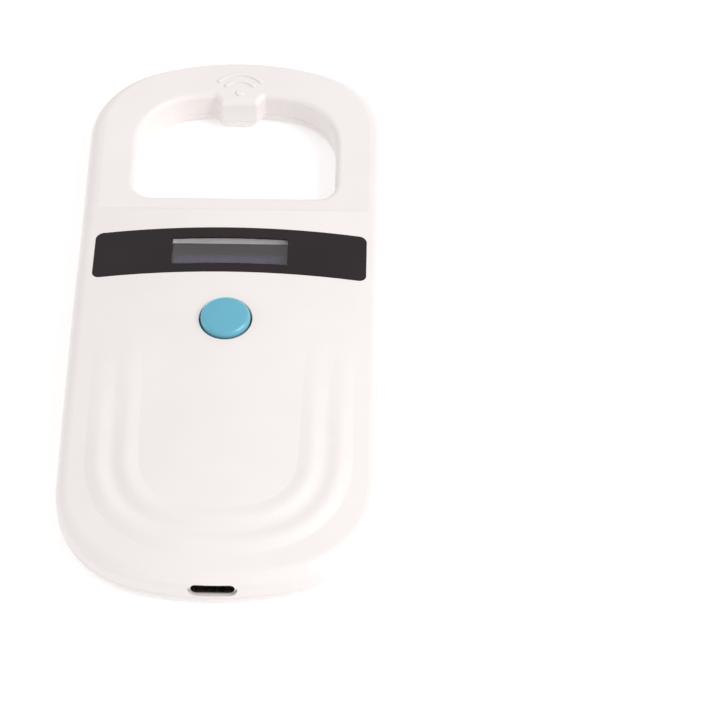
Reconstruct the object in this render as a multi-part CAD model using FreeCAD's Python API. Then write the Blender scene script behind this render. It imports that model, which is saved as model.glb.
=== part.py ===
import FreeCAD, Part
import math
import os
from FreeCAD import Vector as V

os.makedirs("parts", exist_ok=True)

# Handheld microchip scanner lying on its back.  Millimetres.  The origin is the middle of the footprint
# on the table, +Y runs to the ring handle, -Y to the charging socket, +Z out of the face.

# ---- shell ----
WIDTH = 62.2
LENGTH = 136.0
END_R = 60.0            # shallow bow of both ends
RING_CORNER_R = 19.0
PORT_CORNER_R = 22.0
SEAM_Z = 3.0            # front and back halves meet here
SEAM_CHAMFER = 0.12
BACK_EDGE_R = 2.6
FRONT_EDGE_R = 3.0
SIDE_WALL = 2.2
ROOF_WALL = 1.7
FLOOR = 1.6
BACK_WALL = 1.9
LIP_T = 0.8             # locating lip of the back half
LIP_H = 1.0
LIP_GAP = 0.1
LIP_ROOT = 1.5          # how far the lip reaches down beside the wall of the back half
LIP_GATE = (7.0, -50.0)  # half width of the break for the socket, and where it ends
RING_WALL = 1.8
RIB_HALF_T = 0.8        # ribs that tie the screw bosses to the side walls
RIB_CLEAR = 0.3

# ---- roof: crown across, gentle hump along ----
CROWN_R = 150.0
HUMP_Y = -3.3
HUMP_Z = 12.4
HUMP_R = 560.0
NECK_Y = 24.0
NECK_Z = 11.1
RING_FALL_Y = 48.4
RING_FALL = 2.6
RING_FALL_RUN = 20.0
ROOF_STEP = 8            # spacing of the points the hump line is drawn through

# ---- ring handle ----
RING_Z = 8.5
STEP_Y = 23.2
STEP_R = 165.0
STEP_EDGE_R = 0.8
HOLE_HALF_W = 20.8
HOLE_FRONT_Y = 28.8
HOLE_FAR_Y = 57.85
HOLE_END_R = 55.0
HOLE_FAR_CORNER_R = 13.4
HOLE_NEAR_CORNER_R = 3.5
HOLE_FRONT_EDGE_R = 1.4
HOLE_BACK_EDGE_R = 2.6
HOLE_WALL = 1.6
NUB_TIP_Y = 55.3
NUB_ROOT_HALF = 5.5
NUB_TIP_HALF = 3.9
NUB_BACK_ROOT_HALF = 5.0
NUB_BACK_TIP_HALF = 3.6
NUB_TIP_R = 0.9
NUB_ROOT_R = 0.8

# ---- raised wave symbol ----
WAVE_Y = 58.2
WAVE_H = 0.3
WAVE_EDGE_R = 0.24
WAVE_ROOT = 0.2
WAVE_DOT_R = 0.85
WAVE_RADII = (3.6, 5.6)
WAVE_LINE = 0.95
WAVE_HALF_ANGLE = 52.0

# ---- raised U ridges ----
RIDGE_HALF_SPAN = 20.6   # the two ridges run side by side along one U, this far from the middle
RIDGE_LOW_Y = -57.2
RIDGE_CREST = 2.65       # crests stand this far either side of that U
RIDGE_FOOT = 3.1         # a crest falls to the roof over this width
RIDGE_H = 0.62
RIDGE_VALLEY = 0.12      # height left between the crests, as a share of RIDGE_H
RIDGE_SINK = 0.04
RIDGE_TURN_Y = -38.0
RIDGE_FULL_Y = -44.0
RIDGE_END_Y = -6.0
RIDGE_SPREAD = 1.0
RIDGE_SQUARE = 0.82      # 1 is an elliptical bend, less is squarer
RIDGE_LEG_STEPS, RIDGE_BEND_STEPS, RIDGE_CROSS_STEPS = 6, 9, 9
RIDGE_ROOT = 1.2         # how far the strip reaches down into the roof

# ---- display ----
PANEL_HALF_W = 27.6
PANEL_LOW_Y = 5.0
PANEL_HIGH_Y = 17.5
PANEL_CORNER_R = 1.5
PANEL_T = 0.3
PANEL_GAP = 0.08
WINDOW_HALF_W = 11.7
WINDOW_LOW_Y = 7.4
WINDOW_HIGH_Y = 14.7
PANE_T = 0.5
PANE_LAP = 1.1
PANE_GAP = 0.1
SIGHT_LAP = 0.2
SHROUD_T = 1.2           # white frame that runs down from the window to the display glass
OLED_W, OLED_D, OLED_T = 30.0, 11.5, 1.4
OLED_Z = 7.5
OLED_GAP = 0.25
OLED_REST = 0.05         # air between the display glass and the shroud
HOLDER_T = 1.6
FLEX_T = 0.15
FLEX_W = 5.0
FLEX_Y = 7.2
FLEX_TOP = 0.5           # height on the side of the display where the ribbon leaves it
FLEX_LEAD = 0.6          # straight part before the bend
FLEX_FOOT = 1.5          # straight part on the board
FLEX_CLEAR = 1.0

# ---- button ----
BUTTON_Y = -7.45
BUTTON_HOLE_R = 5.28
BUTTON_CHAMFER = 0.1
CONE_REACH = 0.5
BUTTON_R = 4.96
BUTTON_EDGE_Z = 13.35
BUTTON_TOP_Z = 13.8
BUTTON_EDGE_R = 1.0
BUTTON_FLANGE_R = 6.2
BUTTON_FLANGE_Z = (9.7, 10.2)
BUTTON_POST_R = 1.4
BUTTON_WALL = 1.0
SWITCH_SIZE = 6.0
SWITCH_BASE_TOP = 8.7
SWITCH_COVER_TOP = 9.0
PLUNGER_R = 1.4
PLUNGER_TOP = 9.6
PLUNGER_COLLAR_R = 1.95
PLUNGER_COLLAR_Z = (7.9, 8.3)
SWITCH_WELL_R = 2.3
SWITCH_WELL_FLOOR = 0.2
SWITCH_EYE_R = 1.8
SWITCH_CORNER_R = 0.4
LEG_OFFSET = 2.25
LEG_HALF_W = 0.35
LEG_T = 0.25
LEG_REACH = 0.9

# ---- circuit board ----
PCB_Z = 5.7
PCB_T = 1.0
PCB_TOP = PCB_Z + PCB_T
PCB_HALF_W = 21.5
PCB_LOW_Y = -61.5
PCB_HIGH_Y = 21.0
PCB_PORT_CORNER_R = 14.0
PCB_CORNER_R = 1.5
PCB_SCREWS = ((-19.3, 15.5), (19.3, 15.5), (-19.3, -45.0), (19.3, -45.0))
PCB_SCREW_R = 0.7
PCB_SCREW_HEAD_R = 1.5
PCB_SCREW_HEAD_T = 0.9
PCB_SCREW_TIP_Z = 8.2
PCB_BOSS_R = 2.0
PCB_SCREW_CLEAR = 0.2
PILOT_GAP = 0.02
PILOT_DEEPER = 0.4       # a pilot hole runs this far past the tip of its screw

# ---- USB-C socket ----
USB_W, USB_H, USB_L = 8.94, 3.16, 7.3
USB_WALL = 0.3
USB_RECESS = 0.6
USB_Z = 5.3
USB_SLOT_W, USB_SLOT_H = 9.3, 3.3
USB_NOTCH_GAP = 0.2      # the board is notched round the socket
USB_BACK_T = 0.6
TONGUE_HALF_W = 3.35
TONGUE_HALF_T = 0.35
TONGUE_SETBACK = 0.8
PAD_COUNT = 12
PAD_PITCH = 0.5
PAD_HALF_W = 0.12
PAD_T = 0.07
PAD_L = 3.9
PAD_SETBACK = 1.1

# ---- case screws ----
CASE_SCREWS = ((-25.2, 17.5), (25.2, 17.5), (-24.3, -47.0), (24.3, -47.0))
SCREW_R = 1.0
SCREW_HEAD_R = 1.9
SCREW_HEAD_Z = (0.8, 2.0)
SCREW_TIP_Z = 6.6
WELL_R = 2.2
BOSS_R = 2.6
BACK_BOSS_R = 3.0
CLEAR_R = 1.2
CROSS_REACH = 0.6        # size and depth of the cross recess, as shares of the head
CROSS_DEPTH = 0.5
CASE_CROSS_HALF_T = 0.3
PCB_CROSS_HALF_T = 0.2

# ---- battery ----
BATT_HALF_W = 16.5
BATT_Y = (-48.5, -2.0)
BATT_Z = (1.75, 5.4)
BATT_SIDE_R = 1.6
GUARD_HALF_W = 13.0
GUARD_D = 2.3
GUARD_INSET = (0.8, 0.9)  # guard board below and above, from the faces of the pouch
TAPE_HALF_W = 14.0
TAPE_INSET = 2.0
PLUG_X = (8.5, 14.5)
PLUG_Y = (-57.5, -54.0)
HEADER_H = 3.2
HEADER_WALL = 0.6
HEADER_SHELL = 0.5
HEADER_BACK = 0.8
PLUG_GAP = 0.1
PLUG_PROUD = 0.4
WIRE_R = 0.45
WIRE_X = ((9.6, 10.4), (11.8, 12.6))  # each wire at the battery and at the plug
WIRE_Z = 3.6

# ---- label ----
LABEL_HALF_W = 15.0
LABEL_Y = (-36.0, -8.0)
LABEL_R = 2.0
LABEL_DEPTH = 0.2
LABEL_PROUD = 0.05
LABEL_GAP = 0.15

# ---- antenna ----
LEAD_R = 0.25
BOBBIN_IN, BOBBIN_OUT = 1.9, 6.6
BOBBIN_WALL = 0.8
BOBBIN_FLOOR = 0.8
BOBBIN_INNER_TOP = 5.6
BOBBIN_OUTER_TOP = 4.2
COIL_IN, COIL_OUT = 2.9, 5.7
COIL_Z = (2.4, 5.2)
LEAD_X = 3.0
LEAD_Z = 4.8
LEAD_RUN = 4.0
LEAD_GAP = 0.02

# ---- parts on the board: middle x, middle y, width, depth, height ----
MCU = (9.0, -41.0, 7.0, 7.0, 1.2)
RFID = (-9.0, -39.0, 5.0, 5.2, 1.1)
MEMORY = (-9.0, -25.0, 4.4, 4.6, 1.0)
CHARGER = (6.0, -50.5, 3.0, 3.0, 0.8)
CRYSTAL = (0.5, -40.0, 2.5, 3.2, 0.7)
INDUCTOR = (-7.0, -48.5, 4.0, 4.0, 1.5)
INDUCTOR_R = 0.7
CHIP_LEAD_L = 0.7
CHIP_LEAD_HALF_W = 0.12
CHIP_LEAD_T = 0.3
CHIP_CORNER = 0.8        # clear of leads at the two corners together
BUZZER_Y = -24.5
BUZZER_R = 4.25
BUZZER_H = 2.2
BUZZER_HOLE_R = 0.8
BUZZER_HOLE_Z = 1.4
PASSIVE_SPOTS = ((-14, -18), (-14, -22), (-11, -31), (-4, -33), (4, -33), (12, -30), (15, -34),
                 (15, -24), (-16, -34), (-2, -46), (1.5, -46), (-12, -47), (11, -50), (-2, -51),
                 (1.5, -51), (10, -2), (-10, -2), (-11, -13))
PASSIVE_SIZES = ((1.0, 0.5), (1.6, 0.8))
PASSIVE_H = (0.8, 0.5, 0.5)

TALL = 40.0             # longer than anything it has to cut through
CLEAN = 0.01            # slack for picking out edges that lie at a height


def save(name, shape):
    shape.exportStep("parts/" + name + ".step")


def box(x0, x1, y0, y1, z0, z1):
    return Part.makeBox(x1 - x0, y1 - y0, z1 - z0, V(x0, y0, z0))


def disc(x, y, r, z0, z1):
    return Part.makeCylinder(r, z1 - z0, V(x, y, z0))


def prism(wire, z0, z1):
    face = Part.Face(wire)
    face.translate(V(0, 0, z0))
    return face.extrude(V(0, 0, z1 - z0))


def round_uprights(shape, radius, half_w=TALL, y0=-LENGTH, y1=LENGTH):
    """Rounds the vertical edges that stand within half_w of the middle and between y0 and y1."""
    chosen = []
    for edge in shape.Edges:
        a, b = edge.Vertexes[0].Point, edge.Vertexes[-1].Point
        upright = abs(a.x - b.x) < 1e-6 and abs(a.y - b.y) < 1e-6 and abs(a.z - b.z) > 1e-6
        if upright and abs(a.x) <= half_w and y0 <= a.y <= y1:
            chosen.append(edge)
    return shape.makeFillet(radius, chosen)


def rounded_box(x0, x1, y0, y1, z0, z1, radius):
    return round_uprights(box(x0, x1, y0, y1, z0, z1), radius)


def end_points(half_w, far, corner_r, end_r):
    """Side tangent point, middle of the corner, end tangent point and centre point of a bowed end."""
    cx = half_w - corner_r
    bow_y = far - end_r
    cy = bow_y + math.sqrt((end_r - corner_r) ** 2 - cx ** 2)
    angle = math.atan2(cy - bow_y, cx)
    mid = (cx + corner_r * math.cos(angle / 2), cy + corner_r * math.sin(angle / 2))
    tangent = (end_r * math.cos(angle), bow_y + end_r * math.sin(angle))
    return (half_w, cy), mid, tangent, (0.0, far)


def bowed_end(half_w, far, corner_r, end_r, sign):
    """Edges of an end from its right side point to its left one."""
    side, mid, tangent, top = end_points(half_w, far, corner_r, end_r)

    def at(point, flip=1):
        return V(flip * point[0], sign * point[1], 0)

    return [Part.Arc(at(side), at(mid), at(tangent)).toShape(),
            Part.Arc(at(tangent), at(top), at(tangent, -1)).toShape(),
            Part.Arc(at(tangent, -1), at(mid, -1), at(side, -1)).toShape()], at(side), at(side, -1)


def shell_outline(inset):
    half_w, far = WIDTH / 2 - inset, LENGTH / 2 - inset
    upper, top_right, top_left = bowed_end(half_w, far, RING_CORNER_R - inset, END_R - inset, 1)
    lower, low_right, low_left = bowed_end(half_w, far, PORT_CORNER_R - inset, END_R - inset, -1)
    sides = [Part.makeLine(low_right, top_right), Part.makeLine(low_left, top_left)]
    return Part.Wire(Part.__sortEdges__(upper + lower + sides))


def hole_outline(outset):
    half_w, far = HOLE_HALF_W + outset, HOLE_FAR_Y + outset
    near, r = HOLE_FRONT_Y - outset, HOLE_NEAR_CORNER_R + outset
    upper, right, left = bowed_end(half_w, far, HOLE_FAR_CORNER_R + outset, HOLE_END_R + outset, 1)
    k = r * (1 - math.sqrt(0.5))
    low_right, low_left = V(half_w, near + r, 0), V(-half_w, near + r, 0)
    foot_right, foot_left = V(half_w - r, near, 0), V(-half_w + r, near, 0)
    edges = upper + [
        Part.makeLine(right, low_right),
        Part.Arc(low_right, V(half_w - k, near + k, 0), foot_right).toShape(),
        Part.makeLine(foot_right, foot_left),
        Part.Arc(foot_left, V(-half_w + k, near + k, 0), low_left).toShape(),
        Part.makeLine(low_left, left)]
    return Part.Wire(Part.__sortEdges__(edges))


def handle_hole(z0, z1, root_half, tip_half):
    """The handle opening with the finger nub standing into it."""
    overrun = 3.0
    root_y = HOLE_FAR_Y + overrun
    wide = root_half + (root_half - tip_half) / (HOLE_FAR_Y - NUB_TIP_Y) * overrun
    corners = [V(-wide, root_y, 0), V(-tip_half, NUB_TIP_Y, 0), V(tip_half, NUB_TIP_Y, 0), V(wide, root_y, 0)]
    nub = prism(Part.makePolygon(corners + [corners[0]]), z0, z1)
    opening = prism(hole_outline(0), z0, z1).cut(nub)
    opening = round_uprights(opening, NUB_TIP_R, tip_half + 0.1, NUB_TIP_Y - 0.1, NUB_TIP_Y + 0.1)
    return round_uprights(opening, NUB_ROOT_R, root_half + 0.4, HOLE_FAR_Y - 0.8, HOLE_FAR_Y)


def hump_height(y):
    """Height of the roof along the middle line."""
    if y < HUMP_Y:
        return HUMP_Z - (y - HUMP_Y) ** 2 / (2 * HUMP_R)
    if y < NECK_Y:
        turn = math.pi * (y - HUMP_Y) / (NECK_Y - HUMP_Y)
        return NECK_Z + (HUMP_Z - NECK_Z) * (1 + math.cos(turn)) / 2
    if y < RING_FALL_Y:
        return NECK_Z
    return NECK_Z - RING_FALL * ((y - RING_FALL_Y) / RING_FALL_RUN) ** 2


def roof_height(x, y):
    return hump_height(y) - x * x / (2 * CROWN_R)


def build_roof():
    """Everything under the roof, which is a parabola across the part carried along the hump line."""
    line = Part.BSplineCurve()
    line.interpolate([V(0, y, hump_height(y)) for y in range(-80, 81, ROOF_STEP)])
    reach = TALL
    sag = reach ** 2 / (2 * CROWN_R)
    poles = [[V(side * reach, p.y, p.z + (sag if side == 0 else -sag)) for p in line.getPoles()]
             for side in (-1, 0, 1)]
    surface = Part.BSplineSurface()
    surface.buildFromPolesMultsKnots(poles, [3, 3], line.getMultiplicities(), [0, 1], line.getKnots(),
                                     False, False, 2, line.Degree)
    return surface.toShape().extrude(V(0, 0, -TALL))


ROOF = build_roof()


def under_roof(drop=0.0):
    lowered = ROOF.copy()
    lowered.translate(V(0, 0, -drop))
    return lowered


def ring_sector(y, radius, line, half_angle, z0, z1):
    """Arc-shaped bar opening toward the hole, with round ends."""
    bar = disc(0, y, radius + line / 2, z0, z1).cut(disc(0, y, radius - line / 2, z0, z1))
    reach = radius * 3
    a = math.radians(half_angle)
    corners = [V(0, y, z0), V(reach * math.sin(a), y + reach * math.cos(a), z0), V(0, y + 2 * reach, z0),
               V(-reach * math.sin(a), y + reach * math.cos(a), z0)]
    wedge = Part.Face(Part.makePolygon(corners + [corners[0]])).extrude(V(0, 0, z1 - z0))
    bar = bar.common(wedge)
    for side in (-1, 1):
        bar = bar.fuse(disc(side * radius * math.sin(a), y + radius * math.cos(a), line / 2, z0, z1))
    return bar.removeSplitter()


def ridge_lift(y):
    """Height of the crests above the roof: full round the bend, fading away slowly up the legs."""
    share = (RIDGE_END_Y - y) / (RIDGE_END_Y - RIDGE_FULL_Y)
    return RIDGE_H * max(0.0, min(1.0, share))


def ridge_section(offset):
    """Share of the full height at a distance from the middle of the pair: two crests and a valley."""
    off = abs(offset)
    if off < RIDGE_CREST:
        rise = (1 - math.cos(math.pi * off / RIDGE_CREST)) / 2
        return RIDGE_VALLEY + (1 - RIDGE_VALLEY) * rise
    return (1 + math.cos(math.pi * (off - RIDGE_CREST) / RIDGE_FOOT)) / 2


def ridge_plan():
    """Middle line of the pair seen from above, from the end of one leg round to the other."""
    depth = RIDGE_TURN_Y - RIDGE_LOW_Y
    reach = RIDGE_END_Y - RIDGE_TURN_Y
    plan = []
    for i in range(RIDGE_LEG_STEPS):
        along = 1 - i / RIDGE_LEG_STEPS
        plan.append((RIDGE_HALF_SPAN + RIDGE_SPREAD * along ** 2, RIDGE_TURN_Y + reach * along))
    for i in range(RIDGE_BEND_STEPS):
        a = math.pi / 2 * i / RIDGE_BEND_STEPS
        across, down = math.cos(a) ** RIDGE_SQUARE, math.sin(a) ** RIDGE_SQUARE
        plan.append((RIDGE_HALF_SPAN * across, RIDGE_TURN_Y - depth * down))
    return plan + [(0.0, RIDGE_LOW_Y)] + [(-x, y) for x, y in reversed(plan)]


def build_ridges():
    """Soft strip with two crests that follows the roof round the U and meets it along both feet."""
    plan = ridge_plan()
    half_w = RIDGE_CREST + RIDGE_FOOT
    rows = []
    for i, (x, y) in enumerate(plan):
        before, after = plan[max(i - 1, 0)], plan[min(i + 1, len(plan) - 1)]
        run = math.hypot(after[0] - before[0], after[1] - before[1])
        nx, ny = (before[1] - after[1]) / run, (after[0] - before[0]) / run
        row = []
        for j in range(-RIDGE_CROSS_STEPS, RIDGE_CROSS_STEPS + 1):
            offset = half_w * j / RIDGE_CROSS_STEPS
            px, py = x + nx * offset, y + ny * offset
            lift = ridge_lift(py) * ridge_section(offset) - RIDGE_SINK
            row.append(V(px, py, roof_height(px, py) + lift))
        rows.append(row)
    surface = Part.BSplineSurface()
    surface.interpolate(rows)
    return surface.toShape().extrude(V(0, 0, -RIDGE_ROOT))


def long_edges(shape, low, high):
    """Edges that lie wholly between two heights and aren't upright."""
    chosen = []
    for edge in shape.Edges:
        b = edge.BoundBox
        if b.ZMin >= low and b.ZMax <= high and max(b.XLength, b.YLength) > 0.2:
            chosen.append(edge)
    return chosen


def usb_profile(w, h, y0, y1):
    """Bar with full-round ends along Y, centred on the socket axis."""
    bar = box(-w / 2, w / 2, y0, y1, USB_Z - h / 2, USB_Z + h / 2)
    edges = [e for e in bar.Edges if abs(e.Vertexes[0].Y - e.Vertexes[-1].Y) > 1e-6]
    return bar.makeFillet(h / 2 - 0.02, edges)


def pocket_region():
    """Region of the handle that is cut down flat, with a slightly bowed edge toward the body."""
    y_side = STEP_Y + STEP_R - math.sqrt(STEP_R ** 2 - TALL ** 2)
    far = LENGTH
    a, b = V(-TALL, y_side, 0), V(TALL, y_side, 0)
    edges = [Part.Arc(a, V(0, STEP_Y, 0), b).toShape(), Part.makeLine(b, V(TALL, far, 0)),
             Part.makeLine(V(TALL, far, 0), V(-TALL, far, 0)), Part.makeLine(V(-TALL, far, 0), a)]
    return Part.Wire(edges)


def panel_blank(grow, drop, thickness):
    """Sheet following the roof, the shape of the black panel."""
    blank = rounded_box(-PANEL_HALF_W - grow, PANEL_HALF_W + grow, PANEL_LOW_Y - grow, PANEL_HIGH_Y + grow,
                        0, TALL, PANEL_CORNER_R + grow)
    return blank.common(under_roof(drop)).cut(under_roof(drop + thickness))


def window_prism(grow, z0, z1):
    return box(-WINDOW_HALF_W - grow, WINDOW_HALF_W + grow, WINDOW_LOW_Y - grow, WINDOW_HIGH_Y + grow, z0, z1)


def oled_prism(grow, z0, z1):
    mid_y = (WINDOW_LOW_Y + WINDOW_HIGH_Y) / 2
    half_w, half_d = OLED_W / 2 + grow, OLED_D / 2 + grow
    return box(-half_w, half_w, mid_y - half_d, mid_y + half_d, z0, z1)


def usb_slot():
    end = -LENGTH / 2
    return usb_profile(USB_SLOT_W, USB_SLOT_H, end - 2.0, end + SIDE_WALL + 1.0)


def round_step(body):
    """Softens the upper edge of the step between the body and the flat of the handle."""
    edges = []
    for edge in body.Edges:
        b = edge.BoundBox
        along_step = b.YMin > STEP_Y - 0.1 and b.YMax < STEP_Y + 6
        if along_step and b.ZMax > RING_Z + 1 and b.XLength > 5:
            edges.append(edge)
    return body.makeFillet(STEP_EDGE_R, edges)


def front_outside():
    """Outer form of the front half, still solid."""
    body = prism(shell_outline(0), -TALL / 2, TALL).common(under_roof())
    body = body.makeFillet(FRONT_EDGE_R, long_edges(body, 6.0, 14.0))
    body = body.cut(prism(shell_outline(-1), -TALL / 2, SEAM_Z))
    body = body.fuse(build_ridges())
    body = body.cut(prism(pocket_region(), RING_Z, TALL))
    body = round_step(body)
    body = body.cut(handle_hole(0, TALL, NUB_ROOT_HALF, NUB_TIP_HALF))
    rim = [e for e in long_edges(body, RING_Z - CLEAN, RING_Z + CLEAN) if inside_rim(e)]
    body = body.makeFillet(HOLE_FRONT_EDGE_R, rim)
    for bar in wave_symbol():
        body = body.fuse(bar)
    return body


def wave_symbol():
    """Raised dot and arcs with soft upper edges."""
    low, high = RING_Z - WAVE_ROOT, RING_Z + WAVE_H
    bars = [disc(0, WAVE_Y, WAVE_DOT_R, low, high)]
    bars += [ring_sector(WAVE_Y, radius, WAVE_LINE, WAVE_HALF_ANGLE, low, high) for radius in WAVE_RADII]
    return [bar.makeFillet(WAVE_EDGE_R, long_edges(bar, high - CLEAN, high + CLEAN)) for bar in bars]


def inside_rim(edge):
    """True for an edge on the rim of the handle opening."""
    b = edge.BoundBox
    inner_x = max(abs(b.XMin), abs(b.XMax)) <= HOLE_HALF_W + CLEAN
    return inner_x and b.YMin >= HOLE_FRONT_Y - CLEAN and b.YMax <= HOLE_FAR_Y + CLEAN


def front_cavity():
    """Hollow of the front half, open at the seam, with its bosses left standing."""
    hollow = prism(shell_outline(SIDE_WALL), SEAM_Z - 1.0, TALL).common(under_roof(ROOF_WALL))
    hollow = hollow.cut(box(-TALL, TALL, STEP_Y - ROOF_WALL, LENGTH, RING_Z - RING_WALL, TALL))
    hollow = hollow.cut(prism(hole_outline(HOLE_WALL), 0, TALL))
    hollow = hollow.cut(window_prism(SIGHT_LAP + SHROUD_T, OLED_Z + OLED_T + OLED_REST, TALL))
    for x, y in CASE_SCREWS:
        hollow = hollow.cut(disc(x, y, BOSS_R, 0, TALL))
        x0, x1 = sorted((x, math.copysign(WIDTH / 2, x)))
        hollow = hollow.cut(box(x0, x1, y - RIB_HALF_T, y + RIB_HALF_T, SEAM_Z + LIP_H + RIB_CLEAR, TALL))
    for x, y in PCB_SCREWS:
        hollow = hollow.cut(disc(x, y, PCB_BOSS_R, PCB_TOP, TALL))
    return hollow


def build_front_cover():
    cover = front_outside()
    cover = cover.cut(front_cavity())
    cover = cover.cut(panel_blank(PANEL_GAP, -1.0, PANEL_T + 1.0))
    pane_seat = window_prism(PANE_LAP, 0, TALL).common(under_roof()).cut(under_roof(PANEL_T + PANE_T))
    cover = cover.cut(pane_seat)
    cover = cover.cut(window_prism(SIGHT_LAP, 0, TALL))
    cover = cover.cut(oled_prism(OLED_GAP, PCB_TOP, OLED_Z + OLED_T + OLED_REST))
    cover = cover.cut(disc(0, BUTTON_Y, BUTTON_HOLE_R, PCB_TOP, TALL))
    cone_z = roof_height(BUTTON_HOLE_R, BUTTON_Y) - BUTTON_CHAMFER
    cone = Part.makeCone(BUTTON_HOLE_R, BUTTON_HOLE_R + CONE_REACH, CONE_REACH, V(0, BUTTON_Y, cone_z))
    cover = cover.cut(cone)
    cover = cover.cut(usb_slot())
    for x, y in CASE_SCREWS:
        cover = cover.cut(disc(x, y, SCREW_R + PILOT_GAP, 0, SCREW_TIP_Z + PILOT_DEEPER))
    for x, y in PCB_SCREWS:
        cover = cover.cut(disc(x, y, PCB_SCREW_R + PILOT_GAP, 0, PCB_SCREW_TIP_Z + PILOT_DEEPER))
    return cover


def lip_ring():
    """Locating lip that stands inside the front half."""
    outer = prism(shell_outline(SIDE_WALL + LIP_GAP), SEAM_Z - LIP_ROOT, SEAM_Z + LIP_H)
    lip = outer.cut(prism(shell_outline(SIDE_WALL + LIP_GAP + LIP_T), 0, TALL))
    lip = lip.cut(box(-LIP_GATE[0], LIP_GATE[0], -LENGTH / 2, LIP_GATE[1], 0, TALL))
    for x, y in CASE_SCREWS:
        lip = lip.cut(disc(x, y, BOSS_R + RIB_CLEAR, SEAM_Z, TALL))
    return lip


def build_back_cover():
    slab = prism(shell_outline(0), 0, SEAM_Z)
    slab = slab.cut(handle_hole(-TALL, TALL, NUB_BACK_ROOT_HALF, NUB_BACK_TIP_HALF))
    outer = [e for e in long_edges(slab, -CLEAN, CLEAN) if not inside_rim(e)]
    slab = slab.makeFillet(BACK_EDGE_R, outer)
    inner = [e for e in long_edges(slab, -CLEAN, CLEAN) if inside_rim(e)]
    slab = slab.makeFillet(HOLE_BACK_EDGE_R, inner)
    slab = slab.makeChamfer(SEAM_CHAMFER, long_edges(slab, SEAM_Z - CLEAN, SEAM_Z + CLEAN))
    hollow = prism(shell_outline(BACK_WALL), FLOOR, TALL).cut(prism(hole_outline(BACK_WALL), 0, TALL))
    for x, y in CASE_SCREWS:
        hollow = hollow.cut(disc(x, y, BACK_BOSS_R, 0, TALL))
    slab = slab.cut(hollow)
    slab = slab.fuse(lip_ring().cut(prism(shell_outline(0), 0, FLOOR)))
    slab = slab.cut(usb_slot())
    for x, y in CASE_SCREWS:
        slab = slab.cut(disc(x, y, WELL_R, -1, SCREW_HEAD_Z[1]))
        slab = slab.cut(disc(x, y, CLEAR_R, -1, TALL))
    return slab.cut(label_sheet(LABEL_GAP, 0.0))


def label_sheet(grow, z0):
    return rounded_box(-LABEL_HALF_W - grow, LABEL_HALF_W + grow, LABEL_Y[0] - grow, LABEL_Y[1] + grow,
                       z0, LABEL_DEPTH, LABEL_R + grow)


def cross_head_screw(x, y, r, head_r, head_z, tip_z, slot):
    """Pan head at head_z with a cross recess in its lower face, shank up to tip_z."""
    low, high = head_z
    screw = disc(x, y, head_r, low, high).fuse(disc(x, y, r, high, tip_z))
    reach, deep = head_r * CROSS_REACH, low + (high - low) * CROSS_DEPTH
    for dx, dy in ((reach, slot), (slot, reach)):
        screw = screw.cut(box(x - dx, x + dx, y - dy, y + dy, low, deep))
    return screw


def dome_cap():
    """Round key: flanged foot, slightly domed top with a soft edge, post down to the switch."""
    low, high = BUTTON_FLANGE_Z
    rise = BUTTON_TOP_Z - BUTTON_EDGE_Z
    ball_r = (BUTTON_R ** 2 + rise ** 2) / (2 * rise)
    ball = Part.makeSphere(ball_r, V(0, BUTTON_Y, BUTTON_TOP_Z - ball_r), V(0, 0, 1), -90, 90, 360)
    cap = disc(0, BUTTON_Y, BUTTON_R, low, BUTTON_TOP_Z + 1).common(ball)
    rim = [e for e in cap.Edges if e.BoundBox.ZLength < 0.01 and e.BoundBox.ZMin > low + 1]
    cap = cap.makeFillet(BUTTON_EDGE_R, rim)
    cap = cap.fuse(disc(0, BUTTON_Y, BUTTON_FLANGE_R, low, high))
    ceiling = BUTTON_EDGE_Z - BUTTON_WALL
    cap = cap.cut(disc(0, BUTTON_Y, BUTTON_R - BUTTON_WALL, low, ceiling))
    return cap.fuse(disc(0, BUTTON_Y, BUTTON_POST_R, PLUNGER_TOP, ceiling)).removeSplitter()


def build_switch():
    """Tactile switch: moulded body, metal lid with four legs, and the plunger held under the lid."""
    h = SWITCH_SIZE / 2
    low, high = BUTTON_Y - h, BUTTON_Y + h
    base = rounded_box(-h, h, low, high, PCB_TOP, SWITCH_BASE_TOP, SWITCH_CORNER_R)
    base = base.cut(disc(0, BUTTON_Y, SWITCH_WELL_R, PCB_TOP + SWITCH_WELL_FLOOR, SWITCH_BASE_TOP))
    lid = rounded_box(-h, h, low, high, SWITCH_BASE_TOP, SWITCH_COVER_TOP, SWITCH_CORNER_R)
    lid = lid.cut(disc(0, BUTTON_Y, SWITCH_EYE_R, SWITCH_BASE_TOP, SWITCH_COVER_TOP))
    for side in (-1, 1):
        for y in (BUTTON_Y - LEG_OFFSET, BUTTON_Y + LEG_OFFSET):
            for reach, top in ((LEG_REACH, PCB_TOP + LEG_T), (LEG_T, SWITCH_COVER_TOP)):
                x0, x1 = sorted((side * h, side * (h + reach)))
                lid = lid.fuse(box(x0, x1, y - LEG_HALF_W, y + LEG_HALF_W, PCB_TOP, top))
    collar_low, collar_high = PLUNGER_COLLAR_Z
    plunger = disc(0, BUTTON_Y, PLUNGER_COLLAR_R, collar_low, collar_high)
    plunger = plunger.fuse(disc(0, BUTTON_Y, PLUNGER_R, collar_high, PLUNGER_TOP)).removeSplitter()
    return base, lid, plunger


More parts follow.
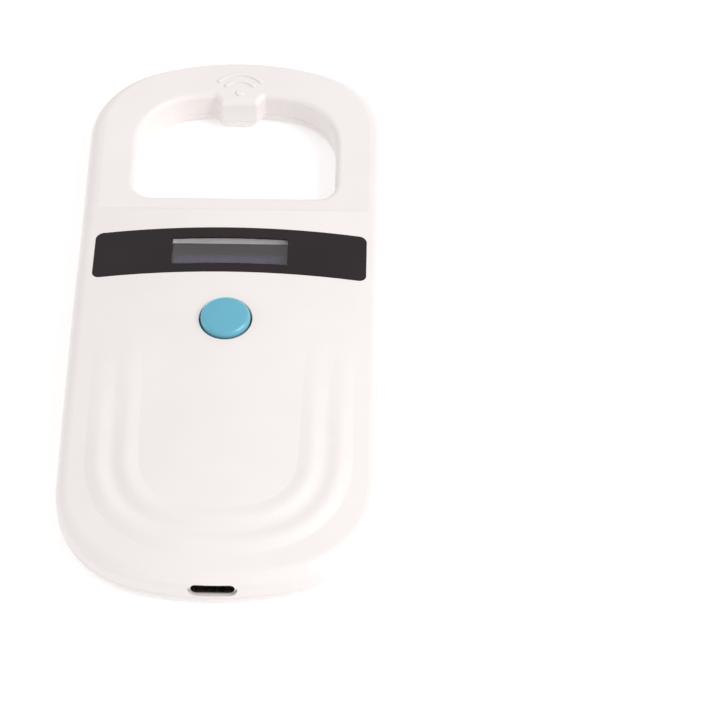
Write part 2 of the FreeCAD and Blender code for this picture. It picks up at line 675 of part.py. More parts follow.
def build_pcb():
    board = box(-PCB_HALF_W, PCB_HALF_W, PCB_LOW_Y, PCB_HIGH_Y, PCB_Z, PCB_TOP)
    board = round_uprights(board, PCB_PORT_CORNER_R, TALL, PCB_LOW_Y - 1, PCB_LOW_Y + 1)
    board = round_uprights(board, PCB_CORNER_R, TALL, PCB_HIGH_Y - 1, PCB_HIGH_Y + 1)
    for x, y in PCB_SCREWS:
        board = board.cut(disc(x, y, PCB_SCREW_R + PCB_SCREW_CLEAR, PCB_Z, PCB_TOP))
    notch = USB_W / 2 + USB_NOTCH_GAP
    socket_end = -LENGTH / 2 + USB_RECESS + USB_L + USB_NOTCH_GAP
    return board.cut(box(-notch, notch, PCB_LOW_Y - 1, socket_end, PCB_Z, PCB_TOP))


def chip(place):
    x, y, w, d, h = place
    return box(x - w / 2, x + w / 2, y - d / 2, y + d / 2, PCB_TOP, PCB_TOP + h)


def leaded_chip(place, count, sides):
    """Package with a row of leads on two or four sides."""
    x, y, w, d, _ = place
    body = chip(place)
    half_t, lead_top = CHIP_LEAD_HALF_W, PCB_TOP + CHIP_LEAD_T
    pitch = (min(w, d) - CHIP_CORNER) / (count - 1)
    for i in range(count):
        off = pitch * (i - (count - 1) / 2)
        for s in (-1, 1):
            x0, x1 = sorted((x + s * w / 2, x + s * (w / 2 + CHIP_LEAD_L)))
            body = body.fuse(box(x0, x1, y + off - half_t, y + off + half_t, PCB_TOP, lead_top))
            if sides == 4:
                y0, y1 = sorted((y + s * d / 2, y + s * (d / 2 + CHIP_LEAD_L)))
                body = body.fuse(box(x + off - half_t, x + off + half_t, y0, y1, PCB_TOP, lead_top))
    return body.removeSplitter()


def build_buzzer():
    can = disc(0, BUZZER_Y, BUZZER_R, PCB_TOP, PCB_TOP + BUZZER_H)
    return can.cut(disc(0, BUZZER_Y, BUZZER_HOLE_R, PCB_TOP + BUZZER_HOLE_Z, TALL))


def group(shapes):
    return Part.makeCompound(shapes)


def wire_through(points, r):
    """Round wire through a few points, leaving and arriving along Y."""
    spine = Part.BSplineCurve()
    along = V(0, -1, 0)
    spine.interpolate(Points=[V(*p) for p in points], InitialTangent=along, FinalTangent=along)
    section = Part.Wire(Part.makeCircle(r, V(*points[0]), along))
    return Part.Wire(spine.toShape()).makePipeShell([section], True, True)


def build_usb():
    """Metal shell with a closed back, the tongue inside it, and the contacts on both tongue faces."""
    y0 = -LENGTH / 2 + USB_RECESS
    back = y0 + USB_L - USB_BACK_T
    shell = usb_profile(USB_W, USB_H, y0, y0 + USB_L)
    shell = shell.cut(usb_profile(USB_W - 2 * USB_WALL, USB_H - 2 * USB_WALL, y0 - 1, back))
    low, high = USB_Z - TONGUE_HALF_T, USB_Z + TONGUE_HALF_T
    tongue = box(-TONGUE_HALF_W, TONGUE_HALF_W, y0 + TONGUE_SETBACK, back, low, high)
    pads = []
    for i in range(PAD_COUNT):
        x = PAD_PITCH * (i - (PAD_COUNT - 1) / 2)
        for z in (low - PAD_T, high):
            pad_y = y0 + PAD_SETBACK
            pads.append(box(x - PAD_HALF_W, x + PAD_HALF_W, pad_y, pad_y + PAD_L, z, z + PAD_T))
    return shell, tongue, group(pads)


def build_battery():
    """Pouch cell, its guard board at the socket end, and the tape that holds it to the back half."""
    y0, y1 = BATT_Y
    z0, z1 = BATT_Z
    pouch = box(-BATT_HALF_W, BATT_HALF_W, y0, y1, z0, z1)
    long_sides = [e for e in pouch.Edges if abs(e.Vertexes[0].Y - e.Vertexes[-1].Y) > 1]
    pouch = pouch.makeFillet(BATT_SIDE_R, long_sides)
    guard = box(-GUARD_HALF_W, GUARD_HALF_W, y0 - GUARD_D, y0, z0 + GUARD_INSET[0], z1 - GUARD_INSET[1])
    tape = box(-TAPE_HALF_W, TAPE_HALF_W, y0 + TAPE_INSET, y1 - TAPE_INSET, FLOOR, z0)
    return pouch, guard, tape


def build_plug():
    """Header soldered under the board and the plug pushed into it."""
    x0, x1 = PLUG_X
    y0, y1 = PLUG_Y
    low = PCB_Z - HEADER_H
    bay = (x0 + HEADER_WALL, x1 - HEADER_WALL, y0 + HEADER_BACK, y1, low + HEADER_SHELL, PCB_Z - HEADER_SHELL)
    header = box(x0, x1, y0, y1, low, PCB_Z).cut(box(*bay))
    plug = box(bay[0] + PLUG_GAP, bay[1] - PLUG_GAP, bay[2] + PLUG_GAP, y1 + PLUG_PROUD,
               bay[4] + PLUG_GAP, bay[5] - PLUG_GAP)
    return header, plug


def build_battery_wires():
    start_y, end_y = BATT_Y[0] - GUARD_D, PLUG_Y[1] + PLUG_PROUD
    plug_z = PCB_Z - HEADER_H / 2
    return group([wire_through([(x0, start_y, WIRE_Z), (x1, end_y, plug_z)], WIRE_R) for x0, x1 in WIRE_X])


def build_oled_flex():
    """Ribbon that leaves the short end of the panel and turns back under it onto the board."""
    z_top, z_low = OLED_Z + FLEX_TOP, PCB_TOP
    r = (z_top - z_low) / 2
    x_end = -OLED_W / 2
    x_bend = x_end - FLEX_LEAD
    outer = [V(x_end, 0, z_top), V(x_bend, 0, z_top), V(x_bend, 0, z_low), V(x_end + FLEX_FOOT, 0, z_low)]
    bend = V(x_bend - r, 0, (z_top + z_low) / 2)
    inner_bend = V(x_bend - r + FLEX_T, 0, bend.z)
    drop = V(0, 0, FLEX_T)
    edges = [Part.makeLine(outer[0], outer[1]), Part.Arc(outer[1], bend, outer[2]).toShape(),
             Part.makeLine(outer[2], outer[3]), Part.makeLine(outer[3], outer[3] + drop),
             Part.makeLine(outer[3] + drop, outer[2] + drop),
             Part.Arc(outer[2] + drop, inner_bend, outer[1] - drop).toShape(),
             Part.makeLine(outer[1] - drop, outer[0] - drop), Part.makeLine(outer[0] - drop, outer[0])]
    ribbon = Part.Face(Part.Wire(edges)).extrude(V(0, FLEX_W, 0))
    ribbon.translate(V(0, FLEX_Y, 0))
    return ribbon


def build_oled_holder():
    """Foam frame between the board and the display, broken where the ribbon comes in."""
    frame = oled_prism(0, PCB_TOP, OLED_Z)
    core = oled_prism(-HOLDER_T, PCB_TOP, OLED_Z)
    x_end = -OLED_W / 2
    flex_gap = box(x_end - FLEX_CLEAR, x_end + HOLDER_T + FLEX_CLEAR, FLEX_Y - FLEX_CLEAR,
                   FLEX_Y + FLEX_W + FLEX_CLEAR, PCB_TOP, OLED_Z)
    return frame.cut(core).cut(flex_gap)


def build_antenna():
    """Trough round the handle opening, the coil wound in it, and the two leads to the board."""
    inner_wall = prism(hole_outline(BOBBIN_IN + BOBBIN_WALL), 0, TALL)
    bobbin = prism(hole_outline(BOBBIN_OUT), FLOOR, BOBBIN_INNER_TOP)
    bobbin = bobbin.cut(prism(hole_outline(BOBBIN_IN), 0, TALL))
    trough = prism(hole_outline(BOBBIN_OUT - BOBBIN_WALL), FLOOR + BOBBIN_FLOOR, TALL)
    bobbin = bobbin.cut(trough.cut(inner_wall))
    over_rim = prism(hole_outline(BOBBIN_OUT + 1), BOBBIN_OUTER_TOP, TALL)
    bobbin = bobbin.cut(over_rim.cut(inner_wall))
    coil = prism(hole_outline(COIL_OUT), COIL_Z[0], COIL_Z[1]).cut(prism(hole_outline(COIL_IN), 0, TALL))
    edge_y = HOLE_FRONT_Y - COIL_OUT
    pad_z = PCB_Z - LEAD_R - LEAD_GAP
    leads = [wire_through([(x, edge_y, LEAD_Z), (x, edge_y - LEAD_RUN, pad_z)], LEAD_R)
             for x in (-LEAD_X, LEAD_X)]
    return bobbin, coil, group(leads)


def build_passives():
    """Small chip capacitors and resistors round the larger parts."""
    parts = []
    for i, (x, y) in enumerate(PASSIVE_SPOTS):
        w, d = PASSIVE_SIZES[i % len(PASSIVE_SIZES)]
        parts.append(chip((x, y, w, d, PASSIVE_H[i % len(PASSIVE_H)])))
    return group(parts)


def save_shell():
    save("front_cover", build_front_cover())
    save("back_cover", build_back_cover())
    save("back_label", label_sheet(0, LABEL_PROUD))
    save("case_screws", group([cross_head_screw(x, y, SCREW_R, SCREW_HEAD_R, SCREW_HEAD_Z, SCREW_TIP_Z,
                                                CASE_CROSS_HALF_T) for x, y in CASE_SCREWS]))


def save_display():
    save("display_overlay", panel_blank(0, 0.0, PANEL_T).cut(window_prism(0, 0, TALL)))
    pane = window_prism(PANE_LAP - PANE_GAP, 0, TALL).common(under_roof(PANEL_T))
    save("display_window", pane.cut(under_roof(PANEL_T + PANE_T)))
    save("oled_panel", oled_prism(0, OLED_Z, OLED_Z + OLED_T))
    save("oled_holder", build_oled_holder())
    save("oled_flex", build_oled_flex())


def save_button():
    save("scan_button", dome_cap())
    base, lid, plunger = build_switch()
    save("switch_housing", base)
    save("switch_cover", lid)
    save("switch_plunger", plunger)


def save_board():
    save("main_pcb", build_pcb())
    head_z = (PCB_Z - PCB_SCREW_HEAD_T, PCB_Z)
    save("pcb_screws", group([cross_head_screw(x, y, PCB_SCREW_R, PCB_SCREW_HEAD_R, head_z, PCB_SCREW_TIP_Z,
                                               PCB_CROSS_HALF_T) for x, y in PCB_SCREWS]))
    save("mcu_chip", leaded_chip(MCU, count=10, sides=4))
    save("rfid_chip", leaded_chip(RFID, count=6, sides=2))
    save("memory_chip", leaded_chip(MEMORY, count=4, sides=2))
    save("charger_chip", chip(CHARGER))
    save("crystal_can", chip(CRYSTAL))
    save("power_inductor", round_uprights(chip(INDUCTOR), INDUCTOR_R))
    save("buzzer", build_buzzer())
    save("small_passives", build_passives())
    shell, tongue, pads = build_usb()
    save("usb_shell", shell)
    save("usb_tongue", tongue)
    save("usb_contacts", pads)


def save_power():
    pouch, guard, tape = build_battery()
    save("battery_pouch", pouch)
    save("battery_guard_board", guard)
    save("battery_tape", tape)
    header, plug = build_plug()
    save("battery_header", header)
    save("battery_plug", plug)
    save("battery_wires", build_battery_wires())


def save_antenna():
    bobbin, coil, leads = build_antenna()
    save("antenna_bobbin", bobbin)
    save("antenna_coil", coil)
    save("antenna_leads", leads)


save_shell()
save_display()
save_button()
save_board()
save_power()
save_antenna()
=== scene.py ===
import math

import bpy
from mathutils import Matrix, Vector


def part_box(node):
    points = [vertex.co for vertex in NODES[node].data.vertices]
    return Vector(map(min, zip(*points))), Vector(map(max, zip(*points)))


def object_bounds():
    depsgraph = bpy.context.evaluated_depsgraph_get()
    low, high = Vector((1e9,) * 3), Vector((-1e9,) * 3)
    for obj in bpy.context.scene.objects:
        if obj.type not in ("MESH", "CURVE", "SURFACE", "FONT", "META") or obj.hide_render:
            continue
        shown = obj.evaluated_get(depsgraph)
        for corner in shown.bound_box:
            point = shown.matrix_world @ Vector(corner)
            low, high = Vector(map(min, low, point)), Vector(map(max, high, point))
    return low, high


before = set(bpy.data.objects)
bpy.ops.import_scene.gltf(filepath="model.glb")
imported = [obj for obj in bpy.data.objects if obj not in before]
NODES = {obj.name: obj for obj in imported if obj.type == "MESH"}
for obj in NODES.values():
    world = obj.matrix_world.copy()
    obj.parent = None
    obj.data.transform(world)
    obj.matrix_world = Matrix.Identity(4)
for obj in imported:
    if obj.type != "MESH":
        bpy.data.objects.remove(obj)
cad_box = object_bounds()
MM = 0.001

# ---- camera, in mm and degrees ----
ELEVATION = 51.0
SWING = 0.631
ROLL = 0.334
DISTANCE = 585.76
TARGET = (26.678, -7.58, 0.0)
SENSOR = 36.0
LENS = 145.6

# ---- light, places and sizes in mm, powers in watts ----
KEY_PLACE, KEY_SIZE, KEY_POWER = (850, -194, 895), 750, 9.4
FILL_PLACE, FILL_SIZE, FILL_POWER = (-800, 0, 260), 500, 0.8
SKY_STRENGTH = 0.76
FLOOR_GLOW = 0.25
FLOOR_REACH = 4.0        # the floor runs this many metres each way
FLOOR_DROP = 0.02        # and lies this far under the scanner, in mm

# ---- display and label, in mm ----
LIT_HALF_W = 11.3
PIXEL_ROW = 0.09
REFLECTION_FADE = 1.6        # height over which the painted violet reflection fades out, from the middle of the glass up
REFLECTION_WOBBLE = 0.5
FRAME_INSET = (1.2, 1.5)
RULE_INSET = (3.0, 3.1)
RULE_PITCH = 2.4
RULE_HALF_W = (0.1, 0.16)

# ---- circuit board, in mm ----
TRACK_WIDTH = 0.09
TRACK_GRID = 4.0
CONDUCTOR_PITCH = 0.25
CONDUCTOR_EDGE = (0.12, 0.15)


# ---- material helper ----

class Mat:
    """A node material built round one Principled shader. Patterns run in object space, in metres."""

    def __init__(self, name):
        self.material = bpy.data.materials.new(name)
        self.material.use_nodes = True
        self.tree = self.material.node_tree
        self.tree.nodes.clear()
        self.out = self.node("ShaderNodeOutputMaterial")
        self.bsdf = self.node("ShaderNodeBsdfPrincipled")
        self.link(self.bsdf.outputs[0], self.out.inputs["Surface"])
        self.geometry = self.node("ShaderNodeNewGeometry")
        self.coord = self.node("ShaderNodeTexCoord")
        place = self.node("ShaderNodeSeparateXYZ")
        self.link(self.coord.outputs["Object"], place.inputs[0])
        self.x, self.y, self.z = place.outputs

    def node(self, kind, **values):
        made = self.tree.nodes.new(kind)
        for key, value in values.items():
            setattr(made, key, value)
        return made

    def link(self, source, target):
        self.tree.links.new(source, target)

    def feed(self, socket, value):
        """Gives a socket a plain number or colour, or links it to another node."""
        if isinstance(value, bpy.types.NodeSocket):
            self.link(value, socket)
        elif isinstance(value, tuple) and len(value) == 3 and socket.type == "RGBA":
            socket.default_value = (*value, 1.0)
        else:
            socket.default_value = value

    def set(self, **values):
        for key, value in values.items():
            self.feed(self.bsdf.inputs[key.replace("_", " ")], value)
        return self

    def math(self, operation, a, b=0.0, c=0.0):
        made = self.node("ShaderNodeMath", operation=operation)
        for socket, value in zip(made.inputs, (a, b, c)):
            self.feed(socket, value)
        return made.outputs[0]

    def noise(self, scale, detail=3.0, rough=0.55, stretch=(1.0, 1.0, 1.0)):
        """Noise from 0 to 1; scale is in features per metre."""
        mapping = self.node("ShaderNodeMapping")
        self.link(self.coord.outputs["Object"], mapping.inputs["Vector"])
        mapping.inputs["Scale"].default_value = stretch
        tex = self.node("ShaderNodeTexNoise")
        self.link(mapping.outputs[0], tex.inputs["Vector"])
        tex.inputs["Scale"].default_value = scale
        tex.inputs["Detail"].default_value = detail
        tex.inputs["Roughness"].default_value = rough
        return tex.outputs["Fac"]

    def ramp(self, source, low, high, a=0.0, b=1.0, kind="LINEAR"):
        """Maps source from low..high to a..b, clamped."""
        made = self.node("ShaderNodeMapRange", interpolation_type=kind)
        for socket, value in zip(made.inputs, (source, low, high, a, b)):
            self.feed(socket, value)
        return made.outputs[0]

    def mix(self, factor, a, b):
        """Blends colour a into colour b."""
        made = self.node("ShaderNodeMix", data_type="RGBA")
        self.feed(made.inputs["Factor"], factor)
        for socket in made.inputs:
            if socket.type == "RGBA":
                self.feed(socket, a if socket.name == "A" else b)
        return [s for s in made.outputs if s.type == "RGBA"][0]

    def rim(self, flat=0.97, steep=0.55):
        """1 on rounded edges, 0 on faces that look straight up, down or sideways."""
        split = self.node("ShaderNodeSeparateXYZ")
        self.link(self.geometry.outputs["Normal"], split.inputs[0])
        level = self.math("ABSOLUTE", split.outputs[2])
        rising = self.ramp(level, 0.15, steep)
        return self.math("MULTIPLY", rising, self.ramp(level, flat, steep))

    def band(self, source, low, high, soft):
        """1 where source lies between low and high, with soft edges."""
        up = self.ramp(source, low - soft, low + soft)
        down = self.ramp(source, high + soft, high - soft)
        return self.math("MULTIPLY", up, down)

    def bump(self, height, distance, strength=1.0, under=None):
        made = self.node("ShaderNodeBump")
        self.feed(made.inputs["Height"], height)
        made.inputs["Distance"].default_value = distance
        made.inputs["Strength"].default_value = strength
        if under is not None:
            self.link(under, made.inputs["Normal"])
        return made.outputs[0]


def shade(color, factor):
    """The same colour made darker or lighter."""
    return tuple(min(1.0, c * factor) for c in color)


# ---- plastics ----

def moulded(name, base, worn, rough=(0.40, 0.50), grain=0.006, pitch=0.25, wear=0.6, **extra):
    """Injection-moulded plastic: cloudy tone, spark-erosion grain of depth grain and size pitch in mm, and
    rounded edges that are rubbed a little paler and glossier."""
    m = Mat(name)
    cloud = m.ramp(m.noise(55.0, 4.0), 0.35, 0.65)
    speck = m.ramp(m.noise(2600.0, 2.0), 0.64, 0.8, 0.0, 0.15)
    tone = m.mix(cloud, shade(base, 0.97), base)
    tone = m.mix(speck, tone, shade(base, 0.9))
    patchy = m.ramp(m.noise(400.0, 4.0), 0.3, 0.7, 0.4, 1.0)
    edge = m.math("MULTIPLY", m.rim(), m.math("MULTIPLY", patchy, wear))
    tone = m.mix(edge, tone, worn)
    smear = m.ramp(m.noise(180.0, 5.0, 0.6), 0.3, 0.7, rough[0], rough[1])
    gloss = m.math("MULTIPLY_ADD", edge, -0.08, smear)
    grained = m.bump(m.noise(1000.0 / pitch, 2.0), grain * MM, 0.5)
    waved = m.bump(m.noise(90.0, 1.0), 0.02 * MM, 0.3, grained)
    return m.set(Base_Color=tone, Roughness=gloss, Normal=waved, **extra)


def panel_black(name):
    """Screen-printed film on the display: near-black ink under a satin hard coat."""
    m = Mat(name)
    fine = m.noise(3500.0, 2.0)
    tone = m.mix(m.ramp(m.noise(70.0, 4.0), 0.35, 0.65), (0.013, 0.0075, 0.009), (0.016, 0.0095, 0.011))
    tone = m.mix(m.math("MULTIPLY", m.rim(), 0.6), tone, (0.034, 0.027, 0.028))
    rough = m.ramp(m.noise(260.0, 5.0, 0.6), 0.3, 0.7, 0.27, 0.36)
    grain = m.bump(fine, 0.003 * MM, 0.5)
    return m.set(Base_Color=tone, Roughness=rough, Normal=grain, Specular_IOR_Level=0.25)


def clear_pane(name):
    """Clear acrylic window with faint haze; lamps shine straight through it."""
    m = Mat(name)
    haze = m.ramp(m.noise(300.0, 5.0, 0.6), 0.4, 0.75, 0.015, 0.05)
    tint = m.mix(m.ramp(m.noise(90.0), 0.3, 0.7), (0.93, 0.94, 0.96), (0.97, 0.97, 0.98))
    m.set(Base_Color=tint, Roughness=haze, Transmission_Weight=1.0, IOR=1.49, Specular_IOR_Level=0.06)
    m.set(Normal=m.bump(m.noise(150.0, 1.0), 0.004 * MM, 0.3))
    path = m.node("ShaderNodeLightPath")
    through = m.node("ShaderNodeBsdfTransparent")
    both = m.node("ShaderNodeMixShader")
    m.link(path.outputs["Is Shadow Ray"], both.inputs[0])
    m.link(m.bsdf.outputs[0], both.inputs[1])
    m.link(through.outputs[0], both.inputs[2])
    m.link(both.outputs[0], m.out.inputs["Surface"])
    return m


def display_glass(name, box):
    """Unlit OLED glass: black frame, brown-grey polariser, and a painted violet reflection low on the lit
    area.
    """
    m = Mat(name)
    low, high = box
    middle = (low.y + high.y) / 2
    # Painted reflection: below the middle of the glass the colour turns violet, with a wobbly edge, in
    # place of a reflection.
    wobble = m.math("MULTIPLY_ADD", m.noise(250.0, 2.0), REFLECTION_WOBBLE * MM, m.y)
    violet_reflection = m.ramp(wobble, middle, middle + REFLECTION_FADE * MM, 1.0, 0.0, "SMOOTHSTEP")
    film = m.mix(violet_reflection, (0.017, 0.011, 0.011), (0.040, 0.029, 0.060))
    rows = m.math("PINGPONG", m.y, PIXEL_ROW * MM)
    film = m.mix(m.ramp(rows, 0.0, PIXEL_ROW * MM, 0.0, 0.12), film, (0.09, 0.08, 0.11))
    lit_x = m.band(m.x, -LIT_HALF_W * MM, LIT_HALF_W * MM, 0.05 * MM)
    film = m.mix(lit_x, (0.018, 0.016, 0.018), film)
    rough = m.ramp(m.noise(400.0, 4.0), 0.3, 0.7, 0.10, 0.18)
    wavy = m.bump(m.noise(200.0, 1.0), 0.003 * MM, 0.4)
    return m.set(Base_Color=film, Roughness=rough, Normal=wavy, Specular_IOR_Level=0.2)


def rubbery(name, base, rough=(0.55, 0.75), pitch=0.12):
    """Soft insulation, foam or tape with a fine open grain."""
    m = Mat(name)
    grain = m.noise(1000.0 / pitch, 3.0)
    tone = m.mix(m.ramp(grain, 0.35, 0.65), shade(base, 0.82), base)
    tone = m.mix(m.ramp(m.noise(150.0, 4.0), 0.5, 0.8, 0.0, 0.3), tone, shade(base, 1.2))
    gloss = m.ramp(m.noise(500.0, 4.0), 0.3, 0.7, rough[0], rough[1])
    return m.set(Base_Color=tone, Roughness=gloss, Normal=m.bump(grain, 0.01 * MM, 0.6))


# ---- metals ----

def metal(name, base, rough=(0.22, 0.36), stretch=(1.0, 1.0, 1.0), scale=2500.0, tarnish=0.8):
    """Bare or plated metal with fine drawn streaks and dull patches."""
    m = Mat(name)
    streak = m.noise(scale, 4.0, 0.6, stretch)
    dull = m.ramp(m.noise(220.0, 5.0, 0.6), 0.45, 0.7)
    tone = m.mix(m.ramp(streak, 0.3, 0.7), shade(base, 0.88), base)
    tone = m.mix(m.math("MULTIPLY", dull, 0.5), tone, shade(base, tarnish))
    gloss = m.ramp(streak, 0.25, 0.75, rough[0], rough[1])
    return m.set(Base_Color=tone, Roughness=gloss, Metallic=1.0, Normal=m.bump(streak, 0.004 * MM, 0.6))


# ---- electronics ----

def solder_mask(name):
    """Green board: copper tracks show as lighter green lines under the mask."""
    m = Mat(name)
    tracks = None
    for width, height, offset in ((1.1, 0.55, 0.5), (0.6, 1.7, 0.35)):
        brick = m.node("ShaderNodeTexBrick", offset=offset)
        m.link(m.coord.outputs["Object"], brick.inputs["Vector"])
        brick.inputs["Scale"].default_value = 1.0
        brick.inputs["Mortar Size"].default_value = TRACK_WIDTH * MM
        brick.inputs["Mortar Smooth"].default_value = 0.2
        brick.inputs["Brick Width"].default_value = TRACK_GRID * width * MM
        brick.inputs["Row Height"].default_value = TRACK_GRID * height * MM
        here = brick.outputs["Fac"]
        tracks = here if tracks is None else m.math("MAXIMUM", tracks, here)
    patch = m.ramp(m.noise(130.0, 1.0), 0.48, 0.52)
    tracks = m.math("MULTIPLY", tracks, patch)
    mask = m.mix(m.ramp(m.noise(500.0, 3.0), 0.3, 0.7), (0.010, 0.105, 0.045), (0.014, 0.135, 0.055))
    tone = m.mix(m.math("MULTIPLY", tracks, 0.75), mask, (0.045, 0.26, 0.09))
    rough = m.ramp(m.noise(900.0, 3.0), 0.3, 0.7, 0.24, 0.38)
    raised = m.bump(tracks, 0.03 * MM, 0.8, m.bump(m.noise(2500.0), 0.004 * MM, 0.4))
    return m.set(Base_Color=tone, Roughness=rough, Normal=raised, Coat_Weight=0.25)


def moulded_chip(name, base=(0.018, 0.018, 0.02)):
    """Moulded or fired package body: gritty and matt, with paler grains."""
    m = Mat(name)
    grit = m.noise(7000.0, 3.0)
    tone = m.mix(m.ramp(grit, 0.4, 0.7), base, shade(base, 1.9))
    rough = m.ramp(m.noise(1500.0, 3.0), 0.3, 0.7, 0.5, 0.72)
    return m.set(Base_Color=tone, Roughness=rough, Normal=m.bump(grit, 0.008 * MM, 0.7))


def foil_pouch(name):
    """Aluminium laminate of a lithium cell: soft dents, a satin sheen and fine creases."""
    m = Mat(name)
    dents = m.noise(90.0, 2.0)
    crease = m.ramp(m.noise(260.0, 6.0, 0.65), 0.47, 0.53)
    tone = m.mix(crease, (0.60, 0.60, 0.62), (0.72, 0.72, 0.74))
    rough = m.ramp(m.noise(700.0, 4.0), 0.3, 0.7, 0.30, 0.46)
    rippled = m.bump(crease, 0.02 * MM, 0.4, m.bump(dents, 0.3 * MM, 0.3))
    return m.set(Base_Color=tone, Roughness=rough, Metallic=0.85, Normal=rippled)


def ribbon(name):
    """Amber polyimide flex with parallel copper conductors."""
    m = Mat(name)
    rise, crest = CONDUCTOR_EDGE
    lines = m.ramp(m.math("PINGPONG", m.y, CONDUCTOR_PITCH * MM), rise * MM, crest * MM)
    tone = m.mix(lines, (0.38, 0.14, 0.02), (0.62, 0.30, 0.07))
    tone = m.mix(m.ramp(m.noise(600.0), 0.4, 0.8, 0.0, 0.3), tone, (0.30, 0.10, 0.015))
    rough = m.ramp(m.noise(900.0), 0.3, 0.7, 0.22, 0.36)
    return m.set(Base_Color=tone, Roughness=rough, Normal=m.bump(lines, 0.02 * MM, 0.5))


def printed_label(name, box):
    """Matt paper-white film with a thin printed frame and blank ruled fields, no lettering."""
    m = Mat(name)
    low, high = box
    middle = (low + high) / 2
    half = (high - low) / 2
    across = m.math("SUBTRACT", half.x, m.math("ABSOLUTE", m.math("SUBTRACT", m.x, middle.x)))
    along = m.math("SUBTRACT", half.y, m.math("ABSOLUTE", m.math("SUBTRACT", m.y, middle.y)))
    inset = m.math("MINIMUM", across, along)
    border = m.band(inset, FRAME_INSET[0] * MM, FRAME_INSET[1] * MM, 0.03 * MM)
    rows = m.math("PINGPONG", m.math("SUBTRACT", m.y, middle.y), RULE_PITCH * MM)
    line = m.ramp(rows, RULE_HALF_W[1] * MM, RULE_HALF_W[0] * MM)
    rule = m.math("MULTIPLY", line, m.ramp(inset, RULE_INSET[0] * MM, RULE_INSET[1] * MM))
    patchy = m.ramp(m.noise(4000.0), 0.25, 0.4, 0.75, 1.0)
    ink = m.math("MULTIPLY", m.math("MAXIMUM", border, rule), patchy)
    paper = m.mix(m.ramp(m.noise(3000.0, 4.0), 0.3, 0.7), (0.70, 0.70, 0.69), (0.78, 0.78, 0.77))
    tone = m.mix(ink, paper, (0.12, 0.12, 0.13))
    rough = m.ramp(m.noise(1200.0, 4.0), 0.3, 0.7, 0.48, 0.6)
    return m.set(Base_Color=tone, Roughness=rough, Normal=m.bump(m.noise(2500.0, 3.0), 0.006 * MM, 0.5))


# ---- which node has which material ----

def dress(material, *names):
    """Puts one material on whole CAD nodes."""
    for name in names:
        mesh = NODES[name].data
        mesh.materials.clear()
        mesh.materials.append(material.material)


WHITE = (0.785, 0.735, 0.720)
TEAL = (0.108, 0.39, 0.515)

shell = moulded("shell_white", WHITE, shade(WHITE, 1.06), wear=0.7)
dress(shell, "front_cover", "back_cover")
dress(panel_black("overlay_black"), "display_overlay")
dress(clear_pane("window_clear"), "display_window")
dress(display_glass("oled_glass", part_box("oled_panel")), "oled_panel")
key = moulded("key_teal", TEAL, shade(TEAL, 1.15), rough=(0.28, 0.36), grain=0.003,
               Coat_Weight=0.35, Coat_Roughness=0.18)
dress(key, "scan_button")
dress(metal("screw_steel", (0.56, 0.57, 0.58), (0.25, 0.4)), "case_screws", "pcb_screws")
nickel = metal("nickel_plate", (0.66, 0.64, 0.60), (0.16, 0.3), (1.0, 12.0, 1.0))
dress(nickel, "usb_shell", "crystal_can", "switch_cover")
dress(metal("gold_plate", (0.80, 0.55, 0.20), (0.15, 0.28)), "usb_contacts")
black = moulded("plastic_black", (0.02, 0.02, 0.022), (0.05, 0.05, 0.052), pitch=0.12)
dress(black, "usb_tongue", "switch_housing", "switch_plunger", "buzzer", "antenna_bobbin")
dress(rubbery("foam_grey", (0.09, 0.09, 0.095)), "oled_holder")
dress(solder_mask("board_green"), "main_pcb", "battery_guard_board")
dress(moulded_chip("chip_epoxy"), "mcu_chip", "rfid_chip", "memory_chip", "charger_chip", "power_inductor")
dress(moulded_chip("passive_ceramic", (0.30, 0.22, 0.15)), "small_passives")
dress(foil_pouch("pouch_foil"), "battery_pouch")
dress(rubbery("tape_white", (0.70, 0.69, 0.65)), "battery_tape")
dress(rubbery("wire_red", (0.50, 0.03, 0.025), (0.35, 0.5)), "battery_wires")
dress(ribbon("flex_amber"), "oled_flex")
ivory = moulded("nylon_ivory", (0.72, 0.67, 0.54), (0.78, 0.74, 0.62), pitch=0.15)
dress(ivory, "battery_header", "battery_plug")
enamel = metal("enamel_copper", (0.62, 0.25, 0.09), (0.24, 0.36), (1.0, 1.0, 14.0), 1500.0)
dress(enamel, "antenna_coil", "antenna_leads")
dress(printed_label("label_print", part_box("back_label")), "back_label")


# ---- studio ----

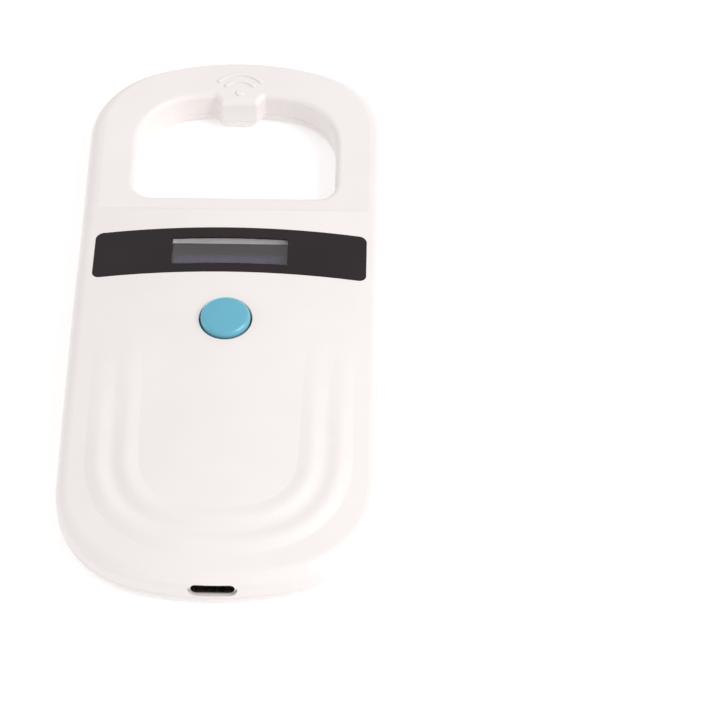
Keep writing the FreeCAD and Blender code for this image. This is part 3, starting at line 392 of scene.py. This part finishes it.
def camera():
    """Looks down at the scanner from the port end, with a long lens."""
    elevation = math.radians(ELEVATION)
    swing = math.radians(SWING)
    roll = math.radians(ROLL)
    distance = DISTANCE * MM
    target = Vector(TARGET) * MM
    back = Vector((math.sin(swing) * math.cos(elevation), -math.cos(swing) * math.cos(elevation),
                   math.sin(elevation)))
    level = Vector((math.cos(swing), math.sin(swing), 0.0))
    upright = back.cross(level)
    right = math.cos(roll) * level + math.sin(roll) * upright
    up = back.cross(right)
    data = bpy.data.cameras.new("camera")
    data.sensor_width = SENSOR
    data.lens = LENS
    made = bpy.data.objects.new("camera", data)
    bpy.context.scene.collection.objects.link(made)
    turn = Matrix((right, up, back)).transposed().to_4x4()
    made.matrix_world = Matrix.Translation(target + back * distance) @ turn
    bpy.context.scene.camera = made


def area_light(name, place, size, power):
    """Soft box at place, in mm, that faces the scanner."""
    data = bpy.data.lights.new(name, "AREA")
    data.shape = "SQUARE"
    data.size = size * MM
    data.energy = power
    made = bpy.data.objects.new(name, data)
    made.location = Vector(place) * MM
    made.rotation_euler = made.location.to_track_quat("Z", "Y").to_euler()
    bpy.context.scene.collection.objects.link(made)


def studio():
    """Pale floor, even sky, a key light from the right and a weak fill from the left."""
    mesh = bpy.data.meshes.new("floor")
    level = cad_box[0].z - FLOOR_DROP * MM
    around = ((-1, -1), (1, -1), (1, 1), (-1, 1))
    corners = [(x * FLOOR_REACH, y * FLOOR_REACH, level) for x, y in around]
    mesh.from_pydata(corners, [], [(0, 1, 2, 3)])
    floor = bpy.data.objects.new("floor", mesh)
    bpy.context.scene.collection.objects.link(floor)
    paper = Mat("floor_paper")
    cloud = paper.ramp(paper.noise(6.0), 0.3, 0.7)
    tone = paper.mix(cloud, (0.93, 0.93, 0.93), (0.95, 0.95, 0.95))
    paper.set(Base_Color=tone, Roughness=0.9, Emission_Color=(1.0, 1.0, 1.0), Emission_Strength=FLOOR_GLOW)
    mesh.materials.append(paper.material)
    world = bpy.data.worlds.new("studio")
    bpy.context.scene.world = world
    world.use_nodes = True
    sky = world.node_tree.nodes["Background"]
    sky.inputs["Color"].default_value = (1.0, 1.0, 1.0, 1.0)
    sky.inputs["Strength"].default_value = SKY_STRENGTH
    area_light("key", KEY_PLACE, KEY_SIZE, KEY_POWER)
    area_light("fill", FILL_PLACE, FILL_SIZE, FILL_POWER)


camera()
studio()
bpy.context.scene.view_settings.view_transform = "Standard"
